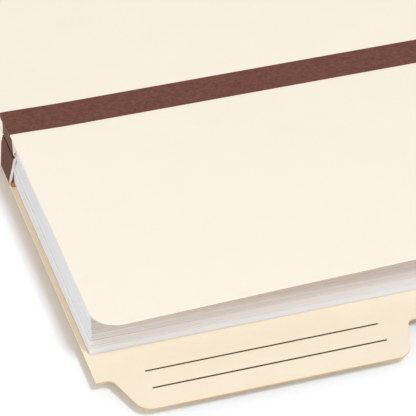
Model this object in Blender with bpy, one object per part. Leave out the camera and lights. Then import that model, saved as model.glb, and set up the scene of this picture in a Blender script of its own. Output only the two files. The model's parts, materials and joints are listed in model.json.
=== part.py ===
"""Expanding file pocket of manila board, lying on its back with the mouth towards -Y.

A back panel with a tab and a shorter front panel are joined on three sides by a gusset
with one inward fold. The front panel runs on past a score line as a free flap.
Units are metres, +Z is up, and the underside of the back panel is at z = 0.
"""
import math

import bmesh
import bpy
from mathutils import Quaternion, Vector

# Driving dimensions
MM = 0.001
PANEL_WIDTH = 298.5 * MM          # 11 3/4 in, takes letter sheets
PANEL_LENGTH = 250.8 * MM         # 9 7/8 in, tab included
BOARD = 0.5 * MM
PANEL_CORNER = 2.0 * MM
EXPANDED_HEIGHT = 18.5 * MM       # underside of the back panel to the top of the front panel
FRONT_INSET = 1.75 * MM           # front panel inside the back panel, on three sides

TAB_HEIGHT = 16.0 * MM
TAB_LEFT = 4.8 * MM               # foot of the left shoulder, from the panel's left edge
TAB_FOOT_WIDTH = 97.0 * MM        # a third of the panel's width, less the shoulders' clearance
TAB_SHOULDER_RUN = 5.4 * MM       # how far a shoulder leans in over the tab's height
TAB_FOOT_RADIUS = 2.5 * MM
TAB_CORNER_RADIUS = 5.5 * MM

MOUTH_FROM_SHELF = 109.8 * MM     # shelf beside the tab to the score line of the flap
FLAP_LENGTH = 106.2 * MM
FLAP_CORNER = 9.0 * MM
FLAP_RISE = 0.031                 # slope of the flap's free edge up from its corners
FLAP_RIDGE = 35.0 * MM            # half width over which that slope rounds off at mid width
SCORE_HALF_GAP = 0.15 * MM
SCORE_AXIS_RISE = 0.35 * MM       # fold axis above the front panel, level with the band's skin

BAND_WIDTH = 13.4 * MM
TAPE = 0.12 * MM
TAPE_GAP = 0.10 * MM

FLANGE = 0.3 * MM
FLANGE_GAP = 0.2 * MM
FLANGE_WIDTH = 12.0 * MM
FLANGE_EDGE = 0.3 * MM

LEAF = 0.6 * MM
FOLD_SETBACK = 0.4 * MM           # fold line inside the panel's edge
FOLD_RISE = 0.75 * MM             # fold line off the flange's face
LEAF_ROOT = 0.45 * MM             # leaf starts this far from its fold line
REAR_LEAF_WIDTH = 7.24 * MM
FRONT_LEAF_WIDTH = 6.78 * MM
REAR_LEAF_ANGLE = 68.2            # degrees up from the back panel, pocket expanded
FRONT_LEAF_ANGLE = 81.5           # degrees down from the front panel, pocket expanded
MOUTH_SLANT = 3.0 * MM            # the gusset reaches this much further out at the back panel
MITRE_GAP = 0.4 * MM

OUTER_TAPE_WIDTH = 12.0 * MM
INNER_TAPE_WIDTH = 5.0 * MM
TAPE_START = 0.8 * MM             # tape's edge from the leaf's fold line
TAPE_STOP = 1.4 * MM              # tape's edge short of the leaf's tip

ARC_STEPS = 8
FLAP_COLUMNS = 24
FLAP_CORNER_COLUMNS = 8
FLAP_ROWS = 6

# Places worked out from the driving dimensions
HALF_WIDTH = PANEL_WIDTH / 2
TAB_EDGE_Y = -PANEL_LENGTH / 2
BOTTOM_Y = PANEL_LENGTH / 2
SHELF_Y = TAB_EDGE_Y + TAB_HEIGHT
MOUTH_Y = SHELF_Y + MOUTH_FROM_SHELF
FRONT_HALF_WIDTH = HALF_WIDTH - FRONT_INSET
FRONT_BOTTOM_Y = BOTTOM_Y - FRONT_INSET
FRONT_TOP_Z = EXPANDED_HEIGHT
FRONT_UNDER_Z = FRONT_TOP_Z - BOARD
REAR_FLANGE_Z = BOARD + FLANGE_GAP
FRONT_FLANGE_Z = FRONT_UNDER_Z - FLANGE_GAP - FLANGE
REAR_FOLD_Z = REAR_FLANGE_Z + FLANGE + FOLD_RISE
FRONT_FOLD_Z = FRONT_FLANGE_Z - FOLD_RISE
SIDES = ("left", "right", "bottom")


def make_material(name, colour, roughness):
    """A plain paper finish: one colour and one roughness, no metal."""
    material = bpy.data.materials.new(name)
    material.use_nodes = True
    shader = material.node_tree.nodes["Principled BSDF"]
    shader.inputs["Base Color"].default_value = (*colour, 1.0)
    shader.inputs["Roughness"].default_value = roughness
    shader.inputs["Metallic"].default_value = 0.0
    material.diffuse_color = (*colour, 1.0)
    return material


def rounded_outline(corners):
    """Points round a polygon whose corners are (x, y, radius), each turned into a tangent arc."""
    points = []
    count = len(corners)
    for index, (x, y, radius) in enumerate(corners):
        here = Vector((x, y))
        if radius == 0:
            points.append(here)
            continue
        back = (Vector(corners[index - 1][:2]) - here).normalized()
        ahead = (Vector(corners[(index + 1) % count][:2]) - here).normalized()
        half_angle = back.angle(ahead) / 2
        centre = here + (back + ahead).normalized() * (radius / math.sin(half_angle))
        start = here + back * (radius / math.tan(half_angle)) - centre
        turn = math.pi - 2 * half_angle
        side = 1 if back.cross(ahead) < 0 else -1
        for step in range(ARC_STEPS + 1):
            angle = side * turn * step / ARC_STEPS
            cos, sin = math.cos(angle), math.sin(angle)
            spoke = Vector((start.x * cos - start.y * sin, start.x * sin + start.y * cos))
            points.append(centre + spoke)
    return points


def add_object(name, mesh_builder, material):
    """Link a new object with the closed, outward-facing mesh that the builder returns."""
    bmesh.ops.recalc_face_normals(mesh_builder, faces=mesh_builder.faces)
    mesh = bpy.data.meshes.new(name)
    mesh_builder.to_mesh(mesh)
    mesh_builder.free()
    mesh.materials.append(material)
    item = bpy.data.objects.new(name, mesh)
    bpy.context.scene.collection.objects.link(item)
    return item


def add_plate(name, outline, low, high, material):
    """A flat plate: the outline extruded from z = low to z = high."""
    builder = bmesh.new()
    floor = [builder.verts.new((x, y, low)) for x, y in outline]
    face = builder.faces.new(floor)
    lifted = bmesh.ops.extrude_face_region(builder, geom=[face])["geom"]
    verts = [item for item in lifted if isinstance(item, bmesh.types.BMVert)]
    bmesh.ops.translate(builder, verts=verts, vec=(0, 0, high - low))
    return add_object(name, builder, material)


def add_fold_frame(name, place, axis, angle):
    """An empty on a fold line, turned about that line by the fold's angle in degrees."""
    empty = bpy.data.objects.new(name, None)
    empty.location = place
    empty.rotation_mode = "QUATERNION"
    empty.rotation_quaternion = Quaternion(axis, math.radians(angle))
    bpy.context.scene.collection.objects.link(empty)
    return empty


def side_point(side, half_width, bottom_y, inward, along):
    """Plan position from the distance inside an edge and the place along that edge."""
    if side == "left":
        return Vector((-half_width + inward, along))
    if side == "right":
        return Vector((half_width - inward, along))
    return Vector((along, bottom_y - inward))


def strip_outline(side, half_width, bottom_y, near, far, mouth, length=None):
    """A strip along one edge from inward distance near to far.

    The ends at the bottom corners are mitred. A side strip starts at mouth(inward), and
    stops after length where one is given.
    """
    ends = []
    for inward in (near, far):
        corner = half_width - inward - MITRE_GAP
        if side == "bottom":
            ends.append((inward, -corner, corner))
            continue
        start = mouth(inward)
        stop = bottom_y - inward - MITRE_GAP if length is None else start + length
        ends.append((inward, start, stop))
    (near, near_start, near_stop), (far, far_start, far_stop) = ends
    path = [(near, near_start), (near, near_stop), (far, far_stop), (far, far_start)]
    return [side_point(side, half_width, bottom_y, inward, along) for inward, along in path]


def add_back_panel(material):
    """The back board: a rectangle with a shouldered tab on its mouth edge."""
    left = -HALF_WIDTH + TAB_LEFT
    right = left + TAB_FOOT_WIDTH
    corners = [
        (-HALF_WIDTH, BOTTOM_Y, PANEL_CORNER),
        (-HALF_WIDTH, SHELF_Y, 0),
        (left, SHELF_Y, TAB_FOOT_RADIUS),
        (left + TAB_SHOULDER_RUN, TAB_EDGE_Y, TAB_CORNER_RADIUS),
        (right - TAB_SHOULDER_RUN, TAB_EDGE_Y, TAB_CORNER_RADIUS),
        (right, SHELF_Y, TAB_FOOT_RADIUS),
        (HALF_WIDTH, SHELF_Y, 0),
        (HALF_WIDTH, BOTTOM_Y, PANEL_CORNER),
    ]
    add_plate("back_panel", rounded_outline(corners), 0, BOARD, material)


def add_front_panel(material):
    """The front board, from the score line to the bottom."""
    top_y = MOUTH_Y + SCORE_HALF_GAP
    corners = [
        (-FRONT_HALF_WIDTH, top_y, 0),
        (FRONT_HALF_WIDTH, top_y, 0),
        (FRONT_HALF_WIDTH, FRONT_BOTTOM_Y, PANEL_CORNER),
        (-FRONT_HALF_WIDTH, FRONT_BOTTOM_Y, PANEL_CORNER),
    ]
    add_plate("front_panel", rounded_outline(corners), FRONT_UNDER_Z, FRONT_TOP_Z, material)


def add_front_band(material):
    """The reinforcing band glued across the front board at the score line."""
    top_y = MOUTH_Y + SCORE_HALF_GAP
    low = FRONT_TOP_Z + TAPE_GAP
    corners = [
        (-FRONT_HALF_WIDTH, top_y),
        (FRONT_HALF_WIDTH, top_y),
        (FRONT_HALF_WIDTH, MOUTH_Y + BAND_WIDTH),
        (-FRONT_HALF_WIDTH, MOUTH_Y + BAND_WIDTH),
    ]
    add_plate("front_band", corners, low, low + TAPE, material)


def flap_columns():
    """Places across the flap, closer together round its corners."""
    straight = FRONT_HALF_WIDTH - FLAP_CORNER
    arcs = []
    for step in range(FLAP_CORNER_COLUMNS):
        angle = math.pi / 2 * (1 - step / FLAP_CORNER_COLUMNS)
        arcs.append(straight + FLAP_CORNER * math.sin(angle))
    inner = [straight * (1 - 2 * step / FLAP_COLUMNS) for step in range(FLAP_COLUMNS + 1)]
    return [-x for x in arcs] + [-x for x in inner] + arcs[::-1]


def flap_reach(x):
    """Length of the flap at x: full, less the quarter circle at each corner."""
    into_corner = max(0, abs(x) - (FRONT_HALF_WIDTH - FLAP_CORNER))
    return FLAP_LENGTH - FLAP_CORNER + math.sqrt(max(0, FLAP_CORNER**2 - into_corner**2))


def flap_height(x, reach):
    """Rise of the flap: straight slopes up from both corners that round off at mid width."""
    corner = math.hypot(FRONT_HALF_WIDTH, FLAP_RIDGE)
    return FLAP_RISE * (corner - math.hypot(x, FLAP_RIDGE)) * reach / FLAP_LENGTH


def add_front_flap(material):
    """The free end of the front sheet, bowed up along its free edge, hung on the score line."""
    builder = bmesh.new()
    layers = []
    for drop in (SCORE_AXIS_RISE, SCORE_AXIS_RISE + BOARD):
        grid = []
        for x in flap_columns():
            column = []
            for row in range(FLAP_ROWS + 1):
                span = flap_reach(x) - SCORE_HALF_GAP
                reach = SCORE_HALF_GAP + span * row / FLAP_ROWS
                column.append(builder.verts.new((x, -reach, flap_height(x, reach) - drop)))
            grid.append(column)
        layers.append(grid)
    top, under = layers
    for grid in layers:
        for left, right in zip(grid, grid[1:]):
            for row in range(FLAP_ROWS):
                builder.faces.new((left[row], right[row], right[row + 1], left[row + 1]))
    root = ([column[0] for column in top], [column[0] for column in under])
    free = ([column[-1] for column in top], [column[-1] for column in under])
    rims = [root, free, (top[0], under[0]), (top[-1], under[-1])]
    for upper, lower in rims:
        for index in range(len(upper) - 1):
            builder.faces.new((upper[index], upper[index + 1], lower[index + 1], lower[index]))
    flap = add_object("front_flap", builder, material)
    flap.location = (0, MOUTH_Y, FRONT_TOP_Z + SCORE_AXIS_RISE)


def rear_mouth(inward):
    """Mouth edge of a rear leaf, which leans back towards the fold at its tip."""
    return MOUTH_Y - MOUTH_SLANT + MOUTH_SLANT / 2 * inward / REAR_LEAF_WIDTH


def front_mouth(inward):
    """Mouth edge of a front leaf, which leans out towards the fold at its tip."""
    return MOUTH_Y - MOUTH_SLANT / 2 * inward / FRONT_LEAF_WIDTH


def add_flanges(layer, half_width, bottom_y, mouth_y, low, material):
    """The gusset's three glue strips on one panel."""
    for side in SIDES:
        outline = strip_outline(
            side, half_width, bottom_y, FLANGE_EDGE, FLANGE_WIDTH, lambda inward: mouth_y
        )
        add_plate(f"{side}_{layer}_flange", outline, low, low + FLANGE, material)


def add_leaves(layer, half_width, bottom_y, fold_z, width, mouth, angle, opens, colours):
    """One panel's three gusset leaves, laid flat on their fold lines and then turned open.

    The side leaves carry tape on both faces at the mouth. opens is +1 for leaves that stand
    up from the back panel and -1 for leaves that hang from the front panel.
    """
    paper, tape = colours
    axes = {"left": (0, -opens, 0), "right": (0, opens, 0), "bottom": (-opens, 0, 0)}
    tape_off = LEAF / 2 + TAPE_GAP
    tape_layers = (
        ("outer_tape", OUTER_TAPE_WIDTH, opens),
        ("inner_tape", INNER_TAPE_WIDTH, -opens),
    )
    for side in SIDES:
        fold = side_point(side, half_width, bottom_y, 0, 0)
        frame = add_fold_frame(f"{side}_{layer}_fold", (*fold, fold_z), axes[side], angle)
        outline = strip_outline(side, half_width, bottom_y, LEAF_ROOT, width, mouth)
        flat = [point - fold for point in outline]
        leaf = add_plate(f"{side}_{layer}_leaf", flat, -LEAF / 2, LEAF / 2, paper)
        leaf.parent = frame
        if side == "bottom":
            continue
        for label, length, face in tape_layers:
            outline = strip_outline(
                side, half_width, bottom_y, TAPE_START, width - TAPE_STOP, mouth, length
            )
            flat = [point - fold for point in outline]
            low = tape_off if face > 0 else -tape_off - TAPE
            strip = add_plate(f"{side}_{layer}_{label}", flat, low, low + TAPE, tape)
            strip.parent = frame


for leftover in list(bpy.data.objects):
    bpy.data.objects.remove(leftover, do_unlink=True)

manila = make_material("manila", (0.93, 0.83, 0.66), 0.8)
cream = make_material("cream_manila", (0.94, 0.88, 0.75), 0.8)
brown = make_material("brown_tape", (0.18, 0.07, 0.05), 0.7)

add_back_panel(manila)
add_flanges("rear", HALF_WIDTH, BOTTOM_Y, MOUTH_Y - MOUTH_SLANT, REAR_FLANGE_Z, cream)
add_front_panel(cream)
add_flanges("front", FRONT_HALF_WIDTH, FRONT_BOTTOM_Y, MOUTH_Y, FRONT_FLANGE_Z, cream)
add_front_band(brown)
add_front_flap(cream)
add_leaves(
    "rear", HALF_WIDTH - FOLD_SETBACK, BOTTOM_Y - FOLD_SETBACK, REAR_FOLD_Z,
    REAR_LEAF_WIDTH, rear_mouth, REAR_LEAF_ANGLE, 1, (cream, brown),
)
add_leaves(
    "front", FRONT_HALF_WIDTH - FOLD_SETBACK, FRONT_BOTTOM_Y - FOLD_SETBACK, FRONT_FOLD_Z,
    FRONT_LEAF_WIDTH, front_mouth, FRONT_LEAF_ANGLE, -1, (cream, brown),
)
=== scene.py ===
import json
import math

import bpy
import numpy as np
from mathutils import Matrix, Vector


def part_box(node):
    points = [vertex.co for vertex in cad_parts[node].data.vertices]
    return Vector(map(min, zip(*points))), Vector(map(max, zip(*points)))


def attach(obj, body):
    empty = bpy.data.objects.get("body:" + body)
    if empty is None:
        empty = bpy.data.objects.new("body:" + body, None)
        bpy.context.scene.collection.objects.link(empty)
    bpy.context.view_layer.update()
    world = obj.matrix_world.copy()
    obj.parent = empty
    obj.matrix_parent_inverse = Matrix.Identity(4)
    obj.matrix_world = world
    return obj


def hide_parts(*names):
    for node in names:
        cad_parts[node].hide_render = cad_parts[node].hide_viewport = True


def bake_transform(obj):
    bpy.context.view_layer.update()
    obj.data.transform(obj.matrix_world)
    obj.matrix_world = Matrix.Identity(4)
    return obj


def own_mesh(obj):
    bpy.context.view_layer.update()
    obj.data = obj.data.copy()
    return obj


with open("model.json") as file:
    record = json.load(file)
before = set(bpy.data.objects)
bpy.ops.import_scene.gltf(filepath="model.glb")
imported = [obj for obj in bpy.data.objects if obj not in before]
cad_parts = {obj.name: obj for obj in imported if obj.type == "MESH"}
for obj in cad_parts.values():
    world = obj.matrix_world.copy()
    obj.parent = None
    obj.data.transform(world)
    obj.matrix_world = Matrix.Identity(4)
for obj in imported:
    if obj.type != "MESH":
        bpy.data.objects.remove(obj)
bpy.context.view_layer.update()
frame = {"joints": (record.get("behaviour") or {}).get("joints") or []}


# Back panel
# One sheet of heavy manila board, die cut with a shouldered index tab on its mouth edge. The gusset
# is glued round its other three edges. Loaded with paper it bellies down and rests on its middle.
MM = 0.001
PANEL_LOW, PANEL_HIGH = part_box("back_panel")
HALF_WIDTH = PANEL_HIGH.x
TAB_EDGE_Y = PANEL_LOW.y
BOTTOM_Y = PANEL_HIGH.y
BOARD = PANEL_HIGH.z                      # thickness of the board, which stands on z = 0
PANEL_CORNER = 2.0 * MM
TAB_HEIGHT = 16.0 * MM
TAB_LEFT = 4.95 * MM                      # the tab's foot from the panel's left edge
TAB_FOOT_WIDTH = 96.6 * MM
TAB_SHOULDER_RUN = 5.4 * MM
TAB_FOOT_RADIUS = 2.5 * MM
TAB_CORNER_RADIUS = 5.5 * MM
SHELF_Y = TAB_EDGE_Y + TAB_HEIGHT         # the mouth edge on both sides of the tab
BELLY = 4.0 * MM
BELLY_SIDE = (9.0 * MM, 80.0 * MM)        # the belly starts and is full this far in from the sides
BELLY_ENDS = (22.0 * MM, 90.0 * MM)       # and this far in from the shelf and the bottom edge
TAB_DROOP = 0.45 * MM                     # the tab's free edge hangs this much
DROOP_POWER = 1.5
BOARD_ROUND = 0.12 * MM                   # rounding of the cut edges
ARC_POINTS = 13
OUTLINE_STEP = 3.0 * MM
MERGE = 0.01 * MM                         # columns closer than this become one
PANEL_ROWS = 49
ROW_POWER = 1.3                           # the rows crowd towards the mouth
SHARP_ANGLE = math.radians(35)
CUT_ANGLE = math.radians(50)              # edges sharper than this count as cut
PAPER_GLOSS = 0.25
FIBRE_DETAIL = 5.0
CLOUD_DETAIL = 2.0
TONE_SPAN = (0.7, 1.3)                    # sums of the two noises that give the deep and the pale tone
MANILA_PALE = (0.926, 0.824, 0.652)
MANILA_DEEP = (0.906, 0.797, 0.621)
# The cut edge is painted a little darker, a shade that keeps its rounded rim from showing a highlight
MANILA_EDGE_PALE = (0.87, 0.765, 0.595)
MANILA_EDGE_DEEP = (0.81, 0.70, 0.53)
MOUTH_SHADOW_PALE = (0.80, 0.53, 0.30)         # painted orange shadow on the mouth edge, for the warm shade under the tab
MOUTH_SHADOW_DEEP = (0.70, 0.45, 0.24)
BORDER_LIGHT_TINT = (1.048, 1.0, 0.966)                 # painted warm light: tint of the shaded side borders that the papers leave bare
BORDER_LIGHT_ACROSS = (HALF_WIDTH - 4.5 * MM, HALF_WIDTH - 2.0 * MM)
BORDER_LIGHT_ALONG = (SHELF_Y + 12.0 * MM, SHELF_Y + 14.0 * MM)
# Fibre size, cloud size, relief and roughness of the board's faces and of its cut edges
BOARD_FACE = ((1.6 * MM, 0.35 * MM, 0.35 * MM), (18 * MM,) * 3, 0.02 * MM, (0.78, 0.92))
BOARD_CUT = ((2 * MM, 2 * MM, 0.12 * MM), (9 * MM,) * 3, 0.03 * MM, (0.85, 0.95))


def paper_finish(name, pale, deep, fibre, cloud, relief, roughness):
    """Matte paper, worked out on object coordinates.

    The colour runs from deep to pale with the sum of two noises: fibres of one (x, y, z) size and
    broad clouds of another, both in metres. The fibres also move the roughness between its two
    ends and raise the surface by relief metres.
    """
    material = bpy.data.materials.new(name)
    material.use_nodes = True
    nodes = material.node_tree.nodes
    links = material.node_tree.links
    shader = nodes["Principled BSDF"]
    shader.inputs["Specular IOR Level"].default_value = PAPER_GLOSS
    place = nodes.new("ShaderNodeTexCoord")
    noises = []
    for size, detail in ((fibre, FIBRE_DETAIL), (cloud, CLOUD_DETAIL)):
        spread = nodes.new("ShaderNodeMapping")
        spread.inputs["Scale"].default_value = [1 / length for length in size]
        links.new(place.outputs["Object"], spread.inputs["Vector"])
        noise = nodes.new("ShaderNodeTexNoise")
        noise.inputs["Scale"].default_value = 1.0
        noise.inputs["Detail"].default_value = detail
        links.new(spread.outputs["Vector"], noise.inputs["Vector"])
        noises.append(noise.outputs["Fac"])
    fibres, clouds = noises
    both = nodes.new("ShaderNodeMath")
    both.operation = "ADD"
    links.new(fibres, both.inputs[0])
    links.new(clouds, both.inputs[1])
    tone = nodes.new("ShaderNodeMapRange")
    tone.inputs["From Min"].default_value = TONE_SPAN[0]
    tone.inputs["From Max"].default_value = TONE_SPAN[1]
    links.new(both.outputs["Value"], tone.inputs["Value"])
    colour = nodes.new("ShaderNodeMix")
    colour.data_type = "RGBA"
    colour.inputs["A"].default_value = (*deep, 1.0)
    colour.inputs["B"].default_value = (*pale, 1.0)
    links.new(tone.outputs["Result"], colour.inputs["Factor"])
    links.new(colour.outputs["Result"], shader.inputs["Base Color"])
    rough = nodes.new("ShaderNodeMapRange")
    rough.inputs["To Min"].default_value = roughness[0]
    rough.inputs["To Max"].default_value = roughness[1]
    links.new(fibres, rough.inputs["Value"])
    links.new(rough.outputs["Result"], shader.inputs["Roughness"])
    bump = nodes.new("ShaderNodeBump")
    bump.inputs["Distance"].default_value = relief
    links.new(fibres, bump.inputs["Height"])
    links.new(bump.outputs["Normal"], shader.inputs["Normal"])
    return material


def paint_border_light(material):
    """Paint warm light into the shaded side borders: one smooth step of x, either way, times one of y
    tints the colour.
    """
    nodes = material.node_tree.nodes
    links = material.node_tree.links
    base = nodes["Principled BSDF"].inputs["Base Color"]
    plain_colour = base.links[0].from_socket
    place = nodes.new("ShaderNodeTexCoord")
    split = nodes.new("ShaderNodeSeparateXYZ")
    links.new(place.outputs["Object"], split.inputs["Vector"])
    aside = nodes.new("ShaderNodeMath")
    aside.operation = "ABSOLUTE"
    links.new(split.outputs["X"], aside.inputs[0])
    share = nodes.new("ShaderNodeMath")
    share.operation = "MULTIPLY"
    reaches = (aside.outputs["Value"], *BORDER_LIGHT_ACROSS), (split.outputs["Y"], *BORDER_LIGHT_ALONG)
    for factor, (distance, start, full) in zip(share.inputs, reaches):
        step = nodes.new("ShaderNodeMapRange")
        step.interpolation_type = "SMOOTHSTEP"
        step.inputs["From Min"].default_value = start
        step.inputs["From Max"].default_value = full
        links.new(distance, step.inputs["Value"])
        links.new(step.outputs["Result"], factor)
    # This mix multiplies the painted warm light into the colour
    tan = nodes.new("ShaderNodeMix")
    tan.data_type = "RGBA"
    tan.blend_type = "MULTIPLY"
    tan.inputs["B"].default_value = (*BORDER_LIGHT_TINT, 1.0)
    links.new(share.outputs["Value"], tan.inputs["Factor"])
    links.new(plain_colour, tan.inputs["A"])
    links.new(tan.outputs["Result"], base)


def rounded_line(corners, spacing):
    """Points along a bent line through corners (p, q, radius).

    Each inner corner becomes the arc of its radius that touches both runs beside it. Every arc
    keeps its own points, the straight runs get a point every spacing metres, and of two points
    that nearly meet only one stays.
    """
    corners = np.asarray(corners, float)
    places = corners[:, :2]
    runs = np.diff(places, axis=0)
    runs /= np.linalg.norm(runs, axis=1)[:, None]
    stretches = [places[:1]]
    for here, radius, before, after in zip(places[1:-1], corners[1:-1, 2], runs, runs[1:]):
        turn = math.atan2(before[0] * after[1] - before[1] * after[0], before @ after)
        start = here - before * radius * math.tan(abs(turn) / 2)
        spoke = math.copysign(radius, turn) * np.array([before[1], -before[0]])
        angle = np.linspace(0, turn, ARC_POINTS)[:, None]
        quarter = np.array([-spoke[1], spoke[0]])
        stretches.append(start - spoke + spoke * np.cos(angle) + quarter * np.sin(angle))
    stretches.append(places[-1:])
    line = np.concatenate(stretches)
    steps = np.linalg.norm(np.diff(line, axis=0), axis=1)
    length = np.concatenate([[0.0], np.cumsum(steps)])
    stations = np.union1d(length, np.arange(0, length[-1], spacing))
    stations = stations[np.append(np.diff(stations) > spacing / 200, True)]
    return np.stack([np.interp(stations, length, line[:, axis]) for axis in (0, 1)], axis=-1)


def smooth_step(low, high, value):
    """0 below low, 1 above high and the cubic 3 t t - 2 t t t between them."""
    share = np.clip((value - low) / (high - low), 0, 1)
    return share * share * (3 - 2 * share)


def rounded_end(x, half_width, radius):
    """How far a sheet's end steps back at x to make quarter-circle corners of that radius."""
    into = np.clip(np.abs(x) - (half_width - radius), 0, radius)
    return radius - np.sqrt(radius * radius - into * into)


def closed_sheet(name, upper, lower, face, edge):
    """Closed board between two (rows, columns, 3) grids of points.

    Its faces are the quads of the upper grid, the same quads turned over on the lower grid, and a
    strip of quads round their common border, which takes the edge finish. All faces turn over
    together if the volume they enclose, a sum of triple products, comes out negative.
    """
    rows, columns = upper.shape[:2]
    count = rows * columns
    index = np.arange(count).reshape(rows, columns)
    quads = np.stack([index[:-1, :-1], index[1:, :-1], index[1:, 1:], index[:-1, 1:]], axis=-1)
    quads = quads.reshape(-1, 4)
    border = np.concatenate([index[0, :-1], index[:-1, -1], index[-1, :0:-1], index[:0:-1, 0]])
    ahead = np.roll(border, -1)
    rim = np.stack([border, ahead, ahead + count, border + count], axis=-1)
    faces = np.concatenate([quads, quads[:, ::-1] + count, rim])
    points = np.concatenate([upper.reshape(-1, 3), lower.reshape(-1, 3)])
    first, second, third, fourth = (points[faces[:, corner]] for corner in range(4))
    volume = np.sum(first * (np.cross(second, third) + np.cross(third, fourth)))
    if volume < 0:
        faces = faces[:, ::-1]
    mesh = bpy.data.meshes.new(name)
    mesh.from_pydata(points.tolist(), [], faces.tolist())
    mesh.materials.append(face)
    mesh.materials.append(edge)
    is_rim = np.arange(len(faces)) >= 2 * len(quads)
    mesh.polygons.foreach_set("material_index", is_rim.astype(np.int32))
    mesh.shade_smooth()
    mesh.set_sharp_from_angle(angle=SHARP_ANGLE)
    piece = bpy.data.objects.new(name, mesh)
    bpy.context.scene.collection.objects.link(piece)
    return piece


def soften(piece, width):
    """Round the cut edges of a piece a little, as a die leaves them."""
    bevel = piece.modifiers.new("soft_edges", "BEVEL")
    bevel.width = width
    bevel.segments = 2
    bevel.limit_method = "ANGLE"
    bevel.angle_limit = CUT_ANGLE
    return piece


def belly(x, y):
    """Sag of the loaded board: a smooth step in from the sides times one in from both ends."""
    from_side = HALF_WIDTH - np.abs(x)
    from_end = np.minimum(y - SHELF_Y, BOTTOM_Y - y)
    return BELLY * smooth_step(*BELLY_SIDE, from_side) * smooth_step(*BELLY_ENDS, from_end)


def droop(y):
    """Hang of the tab: grows from nothing at the shelf with a power of the way to its edge."""
    return TAB_DROOP * np.clip((SHELF_Y - y) / TAB_HEIGHT, 0, 1) ** DROOP_POWER


def back_panel_grids():
    """Upper and lower grid of the back panel.

    One parameter runs across the panel along the mouth edge's outline, the other straight back
    from that outline to the bottom edge with its rounded corners.
    """
    tab_left = -HALF_WIDTH + TAB_LEFT
    tab_right = tab_left + TAB_FOOT_WIDTH
    outline = rounded_line(
        [
            (-HALF_WIDTH, SHELF_Y, 0),
            (tab_left, SHELF_Y, TAB_FOOT_RADIUS),
            (tab_left + TAB_SHOULDER_RUN, TAB_EDGE_Y, TAB_CORNER_RADIUS),
            (tab_right - TAB_SHOULDER_RUN, TAB_EDGE_Y, TAB_CORNER_RADIUS),
            (tab_right, SHELF_Y, TAB_FOOT_RADIUS),
            (HALF_WIDTH, SHELF_Y, 0),
        ],
        OUTLINE_STEP,
    )
    corner = HALF_WIDTH - PANEL_CORNER * (1 - np.sin(np.linspace(0, math.pi / 2, 7)))
    x = np.union1d(outline[:, 0], np.concatenate([-corner, corner]))
    x = x[np.append(np.diff(x) > MERGE, True)]
    mouth = np.interp(x, outline[:, 0], outline[:, 1])
    bottom = BOTTOM_Y - rounded_end(x, HALF_WIDTH, PANEL_CORNER)
    back = np.linspace(0, 1, PANEL_ROWS)[:, None] ** ROW_POWER
    y = mouth + (bottom - mouth) * back
    x = np.broadcast_to(x, y.shape)
    under = -belly(x, y) - droop(y)
    return np.stack([x, y, under + BOARD], axis=-1), np.stack([x, y, under], axis=-1)


manila = paper_finish("manila", MANILA_PALE, MANILA_DEEP, *BOARD_FACE)
paint_border_light(manila)
manila_edge = paper_finish("manila_cut_edge", MANILA_EDGE_PALE, MANILA_EDGE_DEEP, *BOARD_CUT)
# The mouth edge's finish is a painted orange shadow, for the warm shade under the tab
mouth_shadow_finish = paper_finish("manila_handled_edge", MOUTH_SHADOW_PALE, MOUTH_SHADOW_DEEP, *BOARD_CUT)
board_grids = back_panel_grids()
back_board = closed_sheet("back_board", *board_grids, manila, manila_edge)
# The strip round the border starts with the mouth edge, which takes the painted orange shadow finish
back_board.data.materials.append(mouth_shadow_finish)
finishes = np.empty(len(back_board.data.polygons), np.int32)
back_board.data.polygons.foreach_get("material_index", finishes)
first_rim = np.flatnonzero(finishes)[0]
finishes[first_rim:first_rim + board_grids[0].shape[1] - 1] = 2
back_board.data.polygons.foreach_set("material_index", finishes)
soften(back_board, BOARD_ROUND)
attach(back_board, "back")
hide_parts("back_panel")


# Printed rules on the tab
# Two straight lines for a title, printed in dark brown ink. They are a skin of ink on the board, and
# its slightly uneven cover shows the fibres below.
RULE_LEFT = 15.8 * MM                     # both ends from the panel's left edge
RULE_RIGHT = 91.75 * MM
RULE_FROM_SHELF = {"tab_rule_upper": 1.05 * MM, "tab_rule_lower": -7.1 * MM}
RULE_WIDTH = 0.59 * MM
RULE_CORNER = 0.1 * MM
RULE_COLUMNS = 60
RULE_ROWS = 5
INK_LOW = 0.006 * MM                      # lower and upper face of the ink off the board
INK_HIGH = 0.03 * MM
INK_PALE = (0.080, 0.042, 0.006)
INK_DEEP = (0.042, 0.021, 0.003)
INK_FACE = ((0.5 * MM, 0.15 * MM, 0.15 * MM), (4 * MM,) * 3, 0.01 * MM, (0.45, 0.7))
INK_GLOSS = 0.05


def rule_grids(middle):
    """Upper and lower grid of one rule: a flat strip along x with its ends rounded across y."""
    corner = RULE_CORNER * (1 - np.cos(np.linspace(0, math.pi / 2, 6)))
    straight = np.linspace(RULE_LEFT, RULE_RIGHT, RULE_COLUMNS)[1:-1]
    x = np.concatenate([RULE_LEFT + corner, straight, RULE_RIGHT - corner[::-1]]) - HALF_WIDTH
    into = np.clip(RULE_CORNER - np.minimum(x - x[0], x[-1] - x), 0, None)
    across = RULE_WIDTH / 2 - RULE_CORNER + np.sqrt(RULE_CORNER * RULE_CORNER - into * into)
    y = middle + across * np.linspace(-1, 1, RULE_ROWS)[:, None]
    x = np.broadcast_to(x, y.shape)
    board = BOARD - droop(y)
    return [np.stack([x, y, board + lift], axis=-1) for lift in (INK_HIGH, INK_LOW)]


rule_ink = paper_finish("rule_ink", INK_PALE, INK_DEEP, *INK_FACE)
rule_ink.node_tree.nodes["Principled BSDF"].inputs["Specular IOR Level"].default_value = INK_GLOSS
for rule_name, from_shelf in RULE_FROM_SHELF.items():
    rule = closed_sheet(rule_name, *rule_grids(SHELF_Y + from_shelf), rule_ink, rule_ink)
    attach(rule, "back")


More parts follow.
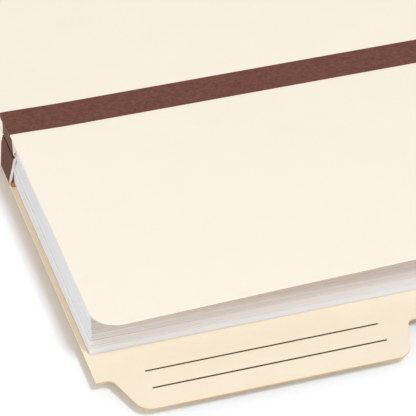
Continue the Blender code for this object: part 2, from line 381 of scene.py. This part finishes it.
# Gusset strips
# Six strips of lighter manila, each folded once along its panel's edge: a glue flange lies on the
# panel and a leaf stands on the fold. Rear and front leaves meet in an inward crease on three sides.
FOLDS = {joint["name"]: joint for joint in frame["joints"]}
MOUTH_Y = FOLDS["flap_fold"]["pos_m"][1]
FRONT_LOW, FRONT_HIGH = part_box("front_panel")
FRONT_INSET = HALF_WIDTH - FRONT_HIGH.x
CREASE = np.array([2.60 * MM, 9.9 * MM])  # inset from the back panel's edge, and height
FLANGE_WIDTH = 12.0 * MM
FLANGE_LIFT = 0.09 * MM                   # middle of the flange off the panel's face
FOLD_INSET = {"rear": 0.10 * MM, "front": 0.70 * MM}  # middle of the fold, inside its panel's edge
FOLD_BEND = 0.35 * MM
CREASE_BEND = 0.25 * MM
SECTION_STEP = 0.12 * MM
LEAF_RISES = np.array([0.09, 0.5, 1.25]) * MM  # rise off the panel of the flange, the fold, the leaf
LEAF_OUTER = np.array([0.07, 0.2, 0.36]) * MM  # outer face off the middle line at those rises
LEAF_INNER = np.array([0.07, 0.2, 0.60]) * MM  # inner face off it
FRONT_LEAF_STOP = 1.10 * MM               # the front leaf ends this far short of the crease
REAR_LEAF_STOP = 0.04 * MM                # the rear leaf steps down to one ply this far short of it
PLY_REACH = 1.1 * MM                      # and that ply runs on behind the front leaf
PLY_OUTER = -0.12 * MM                    # its outer face lies behind the middle line
PLY_STEP = 0.02 * MM                      # rise over which that face steps in
PLY_BACK = 0.6 * MM                       # and its cut end lies behind the leaf's
PLY_EASE = 0.1 * MM                       # rise over which that end steps back
TIP_LENGTH = 2.0 * MM                     # the front leaf's tip is thinner over this much
TIP_INNER = 0.05 * MM                     # inner face of that tip off the middle line
TIP_STEP = 0.1 * MM                       # rise over which the leaf thins to it
MOUTH_SLANT = 1.95 * MM                   # the mouth edge stands out this much more at the back panel
FLANGE_TONGUE = 2.2 * MM                  # and the rear flange runs on this far in front of its leaf
TONGUE_FADE = (0.12 * MM, 0.6 * MM)       # rises over which that tongue ends
MITRE_GAP = 0.03 * MM
STRIP_COLUMNS = 40
CREAM_PALE = (0.957, 0.898, 0.778)
CREAM_DEEP = (0.941, 0.876, 0.748)
# The cut edges are painted brighter, light that makes up for the shade on edges facing the front
CREAM_EDGE_PALE = (0.99, 0.885, 0.76)
CREAM_EDGE_DEEP = (0.955, 0.835, 0.695)
CREAM_CUT = ((0.18 * MM, 1 * MM, 1 * MM), (5 * MM,) * 3, 0.03 * MM, (0.85, 0.95))


def gusset_profile(layer):
    """Section of one gusset strip, from its flange's inner edge round the fold to the leaf's tip.

    Returns the middle line as (inset, height) points, the direction that faces out of the
    pocket at each, and each point's rise off its panel. The rear strip goes on past the crease.
    """
    if layer == "rear":
        edge, face, up = 0.0, BOARD, 1
    else:
        edge, face, up = FRONT_INSET, FRONT_LOW.z, -1
    flange = face + up * FLANGE_LIFT
    fold = np.array([edge + FOLD_INSET[layer], flange])
    if layer == "rear":
        ply = np.array([FRONT_INSET + FOLD_INSET["front"], FRONT_LOW.z]) - CREASE
        tip = CREASE + ply / np.linalg.norm(ply) * PLY_REACH
        corners = [(*CREASE, CREASE_BEND), (*tip, 0)]
    else:
        leaf = CREASE - fold
        corners = [(*(CREASE - leaf / np.linalg.norm(leaf) * FRONT_LEAF_STOP), 0)]
    corners = [(edge + FLANGE_WIDTH, flange, 0), (*fold, FOLD_BEND), *corners]
    middle = rounded_line(corners, SECTION_STEP)
    along = np.gradient(middle, axis=0)
    along /= np.linalg.norm(along, axis=1)[:, None]
    outward = up * np.stack([-along[:, 1], along[:, 0]], axis=-1)
    return middle, outward, up * (middle[:, 1] - face)


def leaf_faces(layer, rise):
    """How far a strip's outer and inner face stand off its middle line at each rise.

    Straight changes between a thin flange and a thick leaf. The rear leaf's outer face steps in
    behind the middle line at the crease, and the front leaf's inner face leaves room for that ply.
    """
    outer_rises, outer, inner_rises, inner = LEAF_RISES, LEAF_OUTER, LEAF_RISES, LEAF_INNER
    if layer == "rear":
        step = CREASE[1] - BOARD - REAR_LEAF_STOP
        outer_rises = np.append(LEAF_RISES, [step, step + PLY_STEP])
        outer = np.append(LEAF_OUTER, [LEAF_OUTER[-1], PLY_OUTER])
    else:
        step = FRONT_LOW.z - CREASE[1] - TIP_LENGTH
        inner_rises = np.append(LEAF_RISES, [step, step + TIP_STEP])
        inner = np.append(LEAF_INNER, [LEAF_INNER[-1], TIP_INNER])
    return np.interp(rise, outer_rises, outer), np.interp(rise, inner_rises, inner)


def mouth_edge(layer, rise):
    """Y of a side strip's cut end: the zigzag from the back panel through the crease to the front.

    Each leaf's end is a straight line over its rise. The rear one has a tongue on the flange and
    a step back at the ply past the crease, both smooth steps of the rise.
    """
    if layer == "rear":
        share = np.clip(rise / (CREASE[1] - BOARD), 0, 1)
        past = smooth_step(0, PLY_EASE, rise - (CREASE[1] - BOARD - REAR_LEAF_STOP))
        tongue = FLANGE_TONGUE * (1 - smooth_step(*TONGUE_FADE, rise))
        return MOUTH_Y - MOUTH_SLANT + MOUTH_SLANT / 2 * share + past * PLY_BACK - tongue
    share = np.clip(rise / (FRONT_LOW.z - CREASE[1]), 0, 1)
    return MOUTH_Y - MOUTH_SLANT / 2 * share


def carry(side, section, start, stop, columns):
    """Grid of a section's (inset, height) points carried along one edge of the pocket.

    Rows are the section's points. Columns run evenly from each point's start to its stop.
    """
    inset, height = section[:, :1], section[:, 1:]
    along = start[:, None] + (stop - start)[:, None] * np.linspace(0, 1, columns)
    inset = np.broadcast_to(inset, along.shape)
    height = np.broadcast_to(height, along.shape)
    if side == "left":
        return np.stack([inset - HALF_WIDTH, along, height], axis=-1)
    if side == "right":
        return np.stack([HALF_WIDTH - inset, along, height], axis=-1)
    return np.stack([along, BOTTOM_Y - inset, height], axis=-1)


def bend_at_fold(piece):
    """Bake a piece's placing into its mesh."""
    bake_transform(piece)


cream = paper_finish("cream_manila", CREAM_PALE, CREAM_DEEP, *BOARD_FACE)
cream_edge = paper_finish("cream_cut_edge", CREAM_EDGE_PALE, CREAM_EDGE_DEEP, *CREAM_CUT)
for layer in ("rear", "front"):
    middle, outward, rise = gusset_profile(layer)
    outer_face, inner_face = leaf_faces(layer, rise)
    outer = middle + outward * outer_face[:, None]
    inner = middle - outward * inner_face[:, None]
    for side in ("left", "right", "bottom"):
        if side == "bottom":
            ends = [HALF_WIDTH - line[:, 0] - MITRE_GAP for line in (outer, inner)]
            starts = [-end for end in ends]
        else:
            ends = [BOTTOM_Y - line[:, 0] - MITRE_GAP for line in (outer, inner)]
            starts = [mouth_edge(layer, rise)] * 2
        grids = [carry(side, *row, STRIP_COLUMNS) for row in zip((outer, inner), starts, ends)]
        strip = closed_sheet(f"{side}_{layer}_gusset_strip", *grids, cream, cream_edge)
        bend_at_fold(strip)
        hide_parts(f"{side}_{layer}_flange", f"{side}_{layer}_leaf")


# Mouth tapes
# Brown reinforcing tape glued on both faces of each side leaf where hands wear the mouth. The outer
# tape goes round the fold to the panel and into the crease, the inner one is a short turn-in.
TAPE = 0.11 * MM
TURN_IN = 0.20 * MM                       # thickness of the inner tape with its glue
GLUE = 0.012 * MM
OUTER_TAPE_START = {"rear": 0.30 * MM, "front": 0.60 * MM}  # rise where the tape starts at the fold
OUTER_TAPE_END = {"rear": (8.3 * MM, 7.2 * MM), "front": (12.8 * MM, 0.0)}  # behind the mouth, slant
OUTER_TAPE_LENGTH = 13.4 * MM             # the slant stops at this length
INNER_TAPE_LENGTH = 5.0 * MM
INNER_TAPE_FLANGE = 5.0 * MM              # the turn-in covers the flange this far in from the edge
TAPE_BACK = 0.05 * MM                     # tape's end behind the leaf's cut edge
TAPE_COLUMNS = 14
SIDEWAYS = -0.5                           # a face turned out further than this takes the outer tape
CREASE_SHADE_BAND = 0.08 * MM                   # painted shade: the tape is darker from this far below the crease
# The side leaves' tape is the band's tape with painted shade, about 0.85 times as bright
SIDE_SHADE_PALE = (0.175, 0.064, 0.044)
SIDE_SHADE_DEEP = (0.098, 0.036, 0.025)
# The turn-in is real tape, painted a brighter orange for light glowing through the paper into the shade
# beside the papers
TURN_IN_GLOW_PALE = (0.80, 0.37, 0.17)
TURN_IN_GLOW_DEEP = (0.62, 0.26, 0.11)
# Painted shade of the dark groove in the crease
CREASE_SHADE_PALE = (0.075, 0.030, 0.018)
CREASE_SHADE_DEEP = (0.042, 0.018, 0.011)
# Fibre size, cloud size, relief and roughness of the tape's worn face and of its sheltered parts
TAPE_FACE = ((0.9 * MM, 0.4 * MM, 0.4 * MM), (1.4 * MM,) * 3, 0.05 * MM, (0.6, 0.8))
TAPE_SHELTERED = ((0.8 * MM, 0.5 * MM, 0.5 * MM), (3 * MM,) * 3, 0.05 * MM, (0.7, 0.9))

# The side tape's finish carries painted shade, the turn-in's a painted glow and the crease's a painted
# shade
side_tape_shaded = paper_finish("brown_mouth_tape", SIDE_SHADE_PALE, SIDE_SHADE_DEEP, *TAPE_FACE)
turn_in_glow_finish = paper_finish("brown_tape_turn_in", TURN_IN_GLOW_PALE, TURN_IN_GLOW_DEEP, *TAPE_SHELTERED)
crease_shade_finish = paper_finish("brown_tape_crease", CREASE_SHADE_PALE, CREASE_SHADE_DEEP, *TAPE_SHELTERED)
for layer in ("rear", "front"):
    middle, outward, rise = gusset_profile(layer)
    outer_face, inner_face = leaf_faces(layer, rise)
    outer_skin = np.maximum(leaf_faces(layer, rise - TAPE)[0], outer_face)
    share = np.clip(rise / (CREASE[1] - BOARD), 0, 1)
    start = mouth_edge(layer, rise) + TAPE_BACK
    on_outer = (rise >= OUTER_TAPE_START[layer]) & (outward[:, 0] < SIDEWAYS)
    on_inner = middle[:, 0] < INNER_TAPE_FLANGE + (FRONT_INSET if layer == "front" else 0)
    skins = {
        "outer": (outer_face + GLUE, outer_skin + GLUE + TAPE, on_outer, side_tape_shaded),
        "inner": (-inner_face - GLUE, -inner_face - TURN_IN, on_inner, turn_in_glow_finish),
    }
    end_at_fold, slant = OUTER_TAPE_END[layer]
    outer_end = np.minimum(end_at_fold + slant * share, OUTER_TAPE_LENGTH)
    stops = {"outer": MOUTH_Y + outer_end, "inner": start + INNER_TAPE_LENGTH}
    for side in ("left", "right"):
        for face, (near, far, kept, finish) in skins.items():
            lines = [(middle + outward * off[:, None])[kept] for off in (near, far)]
            grids = [carry(side, line, start[kept], stops[face][kept], TAPE_COLUMNS) for line in lines]
            tape = closed_sheet(f"{side}_{layer}_{face}_mouth_tape", *grids, finish, side_tape_shaded)
            bend_at_fold(tape)
            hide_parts(f"{side}_{layer}_{face}_tape")
            # The rear outer tape's faces in the crease take the painted shade
            if face == "outer" and layer == "rear":
                tape.data.materials.append(crease_shade_finish)
                centres = np.empty(3 * len(tape.data.polygons))
                tape.data.polygons.foreach_get("center", centres)
                in_crease_shade = centres[2::3] > CREASE[1] - CREASE_SHADE_BAND
                tape.data.polygons.foreach_set("material_index", 2 * in_crease_shade.astype(np.int32))


# Front sheet
# One sheet of cream manila makes the front panel and, past a pressed score line, the free flap that
# covers the papers. The flap springs up along the middle of its free edge, and its corners are round.
FRONT_OVER = 0.1 * MM                     # the sheet is cut this much wider at each side than its solid
FRONT_HALF = FRONT_HIGH.x + FRONT_OVER
FRONT_BOTTOM = FRONT_HIGH.y
FRONT_TOP = FRONT_HIGH.z
FLAP_EDGE_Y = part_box("front_flap")[0].y
FLAP_LENGTH = MOUTH_Y - FLAP_EDGE_Y
FLAP_CORNER = 9.0 * MM
FLAP_RISE = 0.031                         # slope of the free edge from its corners to the middle
FLAP_RIDGE = 35.0 * MM                    # width over which the two slopes round into each other
SCORE_WIDTH = 2.5 * MM                    # the sheet bends over this much in front of the band
SCORE_DEPTH = 0.07 * MM
SCORE_HALF = 0.35 * MM
CURL = 0.5 * MM                           # lift of the sheet's side edges at the mouth
CURL_REACH = 22.0 * MM                    # how far in and along it fades
CURL_BACK = 4.0 * MM                      # it is greatest this far behind the score
FLAP_ROWS = 40
SCORE_ROWS = 14
FRONT_ROWS = 33
FRONT_COLUMNS = 27                        # from the middle to each rounded corner
CORNER_COLUMNS = 17


def side_curl(x, y):
    """Lift of the side edges at the mouth: a smooth step towards the side times a bell along y."""
    share = 1 - smooth_step(0, CURL_REACH, FRONT_HALF - np.abs(x))
    return CURL * share * np.exp(-(((y - MOUTH_Y - CURL_BACK) / CURL_REACH) ** 2))


def flap_rise(x, reach):
    """Spring of the flap: slopes up from both corners, rounded at mid width, growing with reach."""
    corner = math.hypot(FRONT_HALF, FLAP_RIDGE)
    return FLAP_RISE * (corner - np.hypot(x, FLAP_RIDGE)) * reach / FLAP_LENGTH


def front_sheet_grids():
    """Upper and lower grid of the front sheet.

    One parameter runs across, closer at the rounded corners. The other runs back in three
    stretches: the flap, the narrow bend at the score, and the panel down to the bottom fold.
    """
    straight = FRONT_HALF - FLAP_CORNER
    arc = straight + FLAP_CORNER * np.sin(np.linspace(0, math.pi / 2, CORNER_COLUMNS))
    half = np.concatenate([np.linspace(0, straight, FRONT_COLUMNS + 1)[:-1], arc])
    x = np.concatenate([-half[:0:-1], half])
    free = FLAP_EDGE_Y + rounded_end(x, FRONT_HALF, FLAP_CORNER)
    bottom = FRONT_BOTTOM - rounded_end(x, FRONT_HALF, PANEL_CORNER)
    bend = MOUTH_Y - SCORE_WIDTH
    flap = free + (bend - free) * np.linspace(0, 1, FLAP_ROWS + 1)[:-1, None]
    score = np.linspace(bend, MOUTH_Y, SCORE_ROWS + 1)[:-1, None]
    score = np.broadcast_to(score, (SCORE_ROWS, len(x)))
    panel = MOUTH_Y + (bottom - MOUTH_Y) * np.linspace(0, 1, FRONT_ROWS)[:, None]
    y = np.concatenate([flap, score, panel])
    x = np.broadcast_to(x, y.shape)
    pressed = SCORE_DEPTH * np.exp(-(((MOUTH_Y - SCORE_HALF - y) / SCORE_HALF) ** 2))
    z = FRONT_TOP + flap_rise(x, np.clip(MOUTH_Y - y, 0, None)) + side_curl(x, y) - pressed
    return np.stack([x, y, z], axis=-1), np.stack([x, y, z - BOARD], axis=-1)


front_sheet = closed_sheet("front_sheet", *front_sheet_grids(), cream, cream_edge)
soften(front_sheet, BOARD_ROUND)
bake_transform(front_sheet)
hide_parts("front_panel", "front_flap")


# Reinforcing band
# A strip of brown fibrous tape glued across the front panel along the score. Its ends go over the
# panel's side edges and down to the gusset's folds.
BAND_WIDTH = 13.55 * MM
BAND_FRONT = 0.15 * MM                    # band's edge behind the score line
BAND_DROP = 1.65 * MM                     # ends reach this far below the front panel's face
BAND_STAND = 0.05 * MM                    # ends stand off the panel's edge
BAND_BEND = 0.3 * MM
BAND_STEP = 4.0 * MM
BAND_COLUMNS = 9
BROWN_PALE = (0.205, 0.075, 0.052)
BROWN_DEEP = (0.116, 0.043, 0.030)


def band_grids():
    """Upper and lower grid of the band: a section up one side, across and down, carried along y."""
    end = FRONT_HALF + BAND_STAND
    top = FRONT_TOP + GLUE
    corners = [
        (-end, FRONT_TOP - BAND_DROP, 0), (-end, top, BAND_BEND), (end, top, BAND_BEND),
        (end, FRONT_TOP - BAND_DROP, 0),
    ]
    line = rounded_line(corners, BAND_STEP)
    along = np.gradient(line, axis=0)
    along /= np.linalg.norm(along, axis=1)[:, None]
    outward = np.stack([-along[:, 1], along[:, 0]], axis=-1)
    y = MOUTH_Y + BAND_FRONT + BAND_WIDTH * np.linspace(0, 1, BAND_COLUMNS)
    grids = []
    for skin in (line + outward * TAPE, line):
        x = np.broadcast_to(skin[:, :1], (len(line), len(y)))
        z = np.broadcast_to(skin[:, 1:], (len(line), len(y)))
        grids.append(np.stack([x, np.broadcast_to(y, x.shape), z + side_curl(x, y)], axis=-1))
    return grids


brown = paper_finish("brown_tape", BROWN_PALE, BROWN_DEEP, *TAPE_FACE)
band = closed_sheet("mouth_band", *band_grids(), brown, brown)
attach(band, "front")
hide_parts("front_band")


# Paper sheets in the pocket
# A stack of white letter-size sheets, put in as a few bundles that lie a little askew, pushed to the
# left. They are loose contents: they lie on the back panel.
SHEET_SIZE = (279.4 * MM, 215.9 * MM)
SHEET = 0.104 * MM                        # thickness of one sheet
SHEET_FACES = (0.04, 0.96)                # shares of that thickness where a sheet's two rings lie
STACK_FOOT = BOARD + 0.12 * MM            # just clear of the back panel
STACK_FRONT = SHELF_Y + 13.55 * MM
BUNDLE_SHEETS = (32, 19, 25, 7, 8, 9, 16, 20, 20)
BUNDLE_LEFT = np.array([1.78, 1.80, 1.84, 2.52, 2.56, 2.52, 2.58, 2.52, 2.56]) * MM
BUNDLE_LEAN = np.array([0.0, 0.0, 0.75, 0.0, 0.0, 0.0, 0.0, 0.0, 0.0]) * MM
BUNDLE_FRONT = np.array([0.0, 0.03, 0.08, 0.16, 0.1, 0.18, 0.12, 0.18, 0.14]) * MM
BUNDLE_SKEW = np.radians([0.05, 0.12, 0.28, 0.38, 0.39, 0.38, 0.39, 0.38, 0.39])
BUNDLE_GAP = np.array([0.06, 0.02, 0.08, 0.03, 0.04, 0.04, 0.06, 0.06, 0.0]) * MM
GAP_REACH = 30.0 * MM                     # the gaps are open at the left and close over this length
BUNDLE_FLAP_SHADE = ("clean", "rosy", "warm", "yellowed") + 5 * ("browned",)  # painted shade and warm bounce under the flap on its mouth end
SIDE_POINTS = 12                          # points along each side of a sheet
SHEET_JITTER = 0.035 * MM
SHEET_SEED = 7
SHEET_PALE = np.array([0.895, 0.892, 0.911])
SHEET_DEEP = np.array([0.845, 0.842, 0.862])
FLAP_SHADE_TINTS = {                           # painted shade and warm bounce light under the flap, growing up the stack
    "clean": (0.975, 0.975, 0.985), "rosy": (1.01, 0.975, 0.97), "warm": (0.965, 0.915, 0.905),
    "yellowed": (0.895, 0.82, 0.79), "browned": (0.875, 0.77, 0.73),
}
# Layer size, bundle-wide cloud size, relief and roughness of stacked sheet edges
STACKED_CUT = (
    (2000 * MM, 2000 * MM, 0.45 * MM), (600 * MM, 600 * MM, 2.5 * MM), 0.01 * MM, (0.8, 0.92),
)


def bundle_rings(sheets, foot, puff, left, lean, front, skew, rng):
    """Rings round a bundle, two for each sheet, as a (rings, points, 3) grid.

    A ring is a rectangle with points along its sides, moved by its sheet's own jitter and its
    share of the bundle's lean, and turned by the bundle's skew about its front left corner. Its
    left end stands puff higher, which falls away to the right as an exponential.
    """
    side = np.linspace(0, 1, SIDE_POINTS + 1)[:-1]
    full, none = np.ones(SIDE_POINTS), np.zeros(SIDE_POINTS)
    ring_u = np.concatenate([side, full, 1 - side, none])
    ring_v = np.concatenate([none, side, full, 1 - side])
    jitter = np.repeat(rng.normal(0, SHEET_JITTER, (sheets, 2)), 2, axis=0)
    lean = np.repeat(np.linspace(0, lean, sheets), 2)[:, None]
    u = SHEET_SIZE[0] * ring_u + jitter[:, :1] + lean
    v = SHEET_SIZE[1] * ring_v + jitter[:, 1:]
    x = left - HALF_WIDTH + u * math.cos(skew) + v * math.sin(skew)
    y = front + v * math.cos(skew) - u * math.sin(skew)
    levels = np.repeat(np.arange(sheets), 2) + np.tile(SHEET_FACES, sheets)
    z = foot + SHEET * levels[:, None] + puff * np.exp(-SHEET_SIZE[0] * ring_u / GAP_REACH)
    return np.stack([x, y, z], axis=-1)


def closed_stack(name, rings, finish, mouth_finish):
    """Closed block from rings of points, bottom to top: quads between rings and two end faces.

    The first quarter of each ring lies at the pocket's mouth and takes the mouth finish.
    """
    count, points = rings.shape[:2]
    index = np.arange(count * points).reshape(count, points)
    ahead = np.roll(index, -1, axis=1)
    walls = np.stack([index[:-1], ahead[:-1], ahead[1:], index[1:]], axis=-1).reshape(-1, 4)
    faces = walls.tolist() + [index[0, ::-1].tolist(), index[-1].tolist()]
    mesh = bpy.data.meshes.new(name)
    mesh.from_pydata(rings.reshape(-1, 3).tolist(), [], faces)
    mesh.materials.append(finish)
    mesh.materials.append(mouth_finish)
    at_mouth = np.tile(np.arange(points) < points // 4, count - 1)
    mesh.polygons.foreach_set("material_index", np.append(at_mouth, [0, 0]).astype(np.int32))
    piece = bpy.data.objects.new(name, mesh)
    bpy.context.scene.collection.objects.link(piece)
    return piece


def cut_ends(name, tint):
    """Finish of stacked sheet edges: noise layered along the height, its colours times a tint."""
    return paper_finish(name, SHEET_PALE * tint, SHEET_DEEP * tint, *STACKED_CUT)


sheet_paper = cut_ends("sheet_paper", 1.0)
# Mouth-end finishes with painted shade and warm bounce under the flap
flap_shade_ends = {look: cut_ends(f"sheet_paper_{look}", tint) for look, tint in FLAP_SHADE_TINTS.items()}
sheet_rng = np.random.default_rng(SHEET_SEED)
foot = STACK_FOOT
puff = 0.0
for number, sheets in enumerate(BUNDLE_SHEETS):
    rings = bundle_rings(
        sheets, foot, puff, BUNDLE_LEFT[number], BUNDLE_LEAN[number],
        STACK_FRONT + BUNDLE_FRONT[number], BUNDLE_SKEW[number], sheet_rng,
    )
    mouth_finish = flap_shade_ends[BUNDLE_FLAP_SHADE[number]]
    bundle = closed_stack(f"sheet_bundle_{number + 1}", rings, sheet_paper, mouth_finish)
    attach(bundle, "back")
    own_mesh(bundle)
    foot += sheets * SHEET
    puff += BUNDLE_GAP[number]


# Floor
# A plain white surface that the pocket lies on. A slight warm glow, for the camera and for
# reflections only, lifts what is seen of it to white, and it keeps the soft shadow. The glow's warm
# colour over the floor's cool tone paints a warm tint into that shadow.
FLOOR_SIZE = 4.0
FLOOR_Z = -BELLY - 0.03 * MM              # just clear of the back panel's belly
FLOOR_TONE = (0.85, 0.96, 0.98, 1.0)
FLOOR_LIFT = 0.152
FLOOR_GLOW = (1.0, 0.33, 0.20, 1.0)

floor_mesh = bpy.data.meshes.new("floor")
floor_corners = FLOOR_SIZE / 2 * np.array([(-1, -1, 0), (1, -1, 0), (1, 1, 0), (-1, 1, 0)])
floor_corners[:, 2] = FLOOR_Z
floor_mesh.from_pydata(floor_corners.tolist(), [], [(0, 1, 2, 3)])
floor = bpy.data.objects.new("floor", floor_mesh)
bpy.context.scene.collection.objects.link(floor)
floor_finish = bpy.data.materials.new("floor_white")
floor_finish.use_nodes = True
floor_nodes = floor_finish.node_tree.nodes
floor_links = floor_finish.node_tree.links
floor_nodes.remove(floor_nodes["Principled BSDF"])
matte = floor_nodes.new("ShaderNodeBsdfDiffuse")
matte.inputs["Color"].default_value = FLOOR_TONE
glow = floor_nodes.new("ShaderNodeEmission")
glow.inputs["Color"].default_value = FLOOR_GLOW
path = floor_nodes.new("ShaderNodeLightPath")
ray = path.outputs["Is Camera Ray"]
for other in ("Is Glossy Ray", "Is Transmission Ray"):
    either = floor_nodes.new("ShaderNodeMath")
    either.operation = "MAXIMUM"
    floor_links.new(ray, either.inputs[0])
    floor_links.new(path.outputs[other], either.inputs[1])
    ray = either.outputs["Value"]
seen = floor_nodes.new("ShaderNodeMath")
seen.operation = "MULTIPLY"
seen.inputs[1].default_value = FLOOR_LIFT
floor_links.new(ray, seen.inputs[0])
floor_links.new(seen.outputs["Value"], glow.inputs["Strength"])
lit = floor_nodes.new("ShaderNodeAddShader")
floor_links.new(matte.outputs["BSDF"], lit.inputs[0])
floor_links.new(glow.outputs["Emission"], lit.inputs[1])
floor_links.new(lit.outputs["Shader"], floor_nodes["Material Output"].inputs["Surface"])
floor_mesh.materials.append(floor_finish)


# Light
# A softbox above the camera, a little to its right, a weaker one low on the left, and an even
# warm-white surround.
LAMPS = {                                 # place, size across and up, across, power in watts, colour
    "front_softbox": ((0.31, -1.29, 2.00), (0.35, 0.50), (1, 0, 0), 25.6, (0.92, 1.0, 1.15)),
    "left_softbox": ((-1.30, -0.40, 0.22), (0.80, 0.36), (0, 1, 0), 3.7, (1.02, 1.0, 1.10)),
}
LAMP_AIM = (-90.0 * MM, -30.0 * MM, 0.0)
SURROUND = (0.628, 0.592, 0.530, 1.0)


def looking(place, back, across):
    """Placing matrix of something that faces against back, with across turned square to it."""
    back = np.asarray(back) / np.linalg.norm(back)
    across = across - back * np.dot(across, back)
    across /= np.linalg.norm(across)
    turned = np.column_stack([across, np.cross(back, across), back, place])
    return Matrix(np.vstack([turned, [0, 0, 0, 1]]).tolist())


for lamp_name, (place, size, across, power, tint) in LAMPS.items():
    lamp_data = bpy.data.lights.new(lamp_name, "AREA")
    lamp_data.shape = "RECTANGLE"
    lamp_data.size, lamp_data.size_y = size
    lamp_data.energy = power
    lamp_data.color = tint
    lamp = bpy.data.objects.new(lamp_name, lamp_data)
    bpy.context.scene.collection.objects.link(lamp)
    lamp.matrix_world = looking(place, np.subtract(place, LAMP_AIM), np.array(across))
world = bpy.data.worlds.new("surround")
world.use_nodes = True
world.node_tree.nodes["Background"].inputs["Color"].default_value = SURROUND
bpy.context.scene.world = world
bpy.context.scene.view_settings.view_transform = "Standard"


# Camera
# A long lens in front of the pocket's left corner, looking down over the tab.
AZIMUTH = math.radians(17.36)
ELEVATION = math.radians(36.64)
ROLL = math.radians(-0.21)
LENS = 240.6
DISTANCE = 0.9196
AIM = np.array([-89.7 * MM, MOUTH_Y - 34.1 * MM, 0.0])

ahead = np.array([
    math.sin(AZIMUTH) * math.cos(ELEVATION), math.cos(AZIMUTH) * math.cos(ELEVATION),
    -math.sin(ELEVATION),
])
level = np.array([math.cos(AZIMUTH), -math.sin(AZIMUTH), 0.0])
rolled = math.cos(ROLL) * level + math.sin(ROLL) * np.cross(level, ahead)
camera_data = bpy.data.cameras.new("camera")
camera_data.lens = LENS
camera_data.clip_start = 0.01
camera = bpy.data.objects.new("camera", camera_data)
bpy.context.scene.collection.objects.link(camera)
camera.matrix_world = looking(AIM - ahead * DISTANCE, -ahead, rolled)
bpy.context.scene.camera = camera
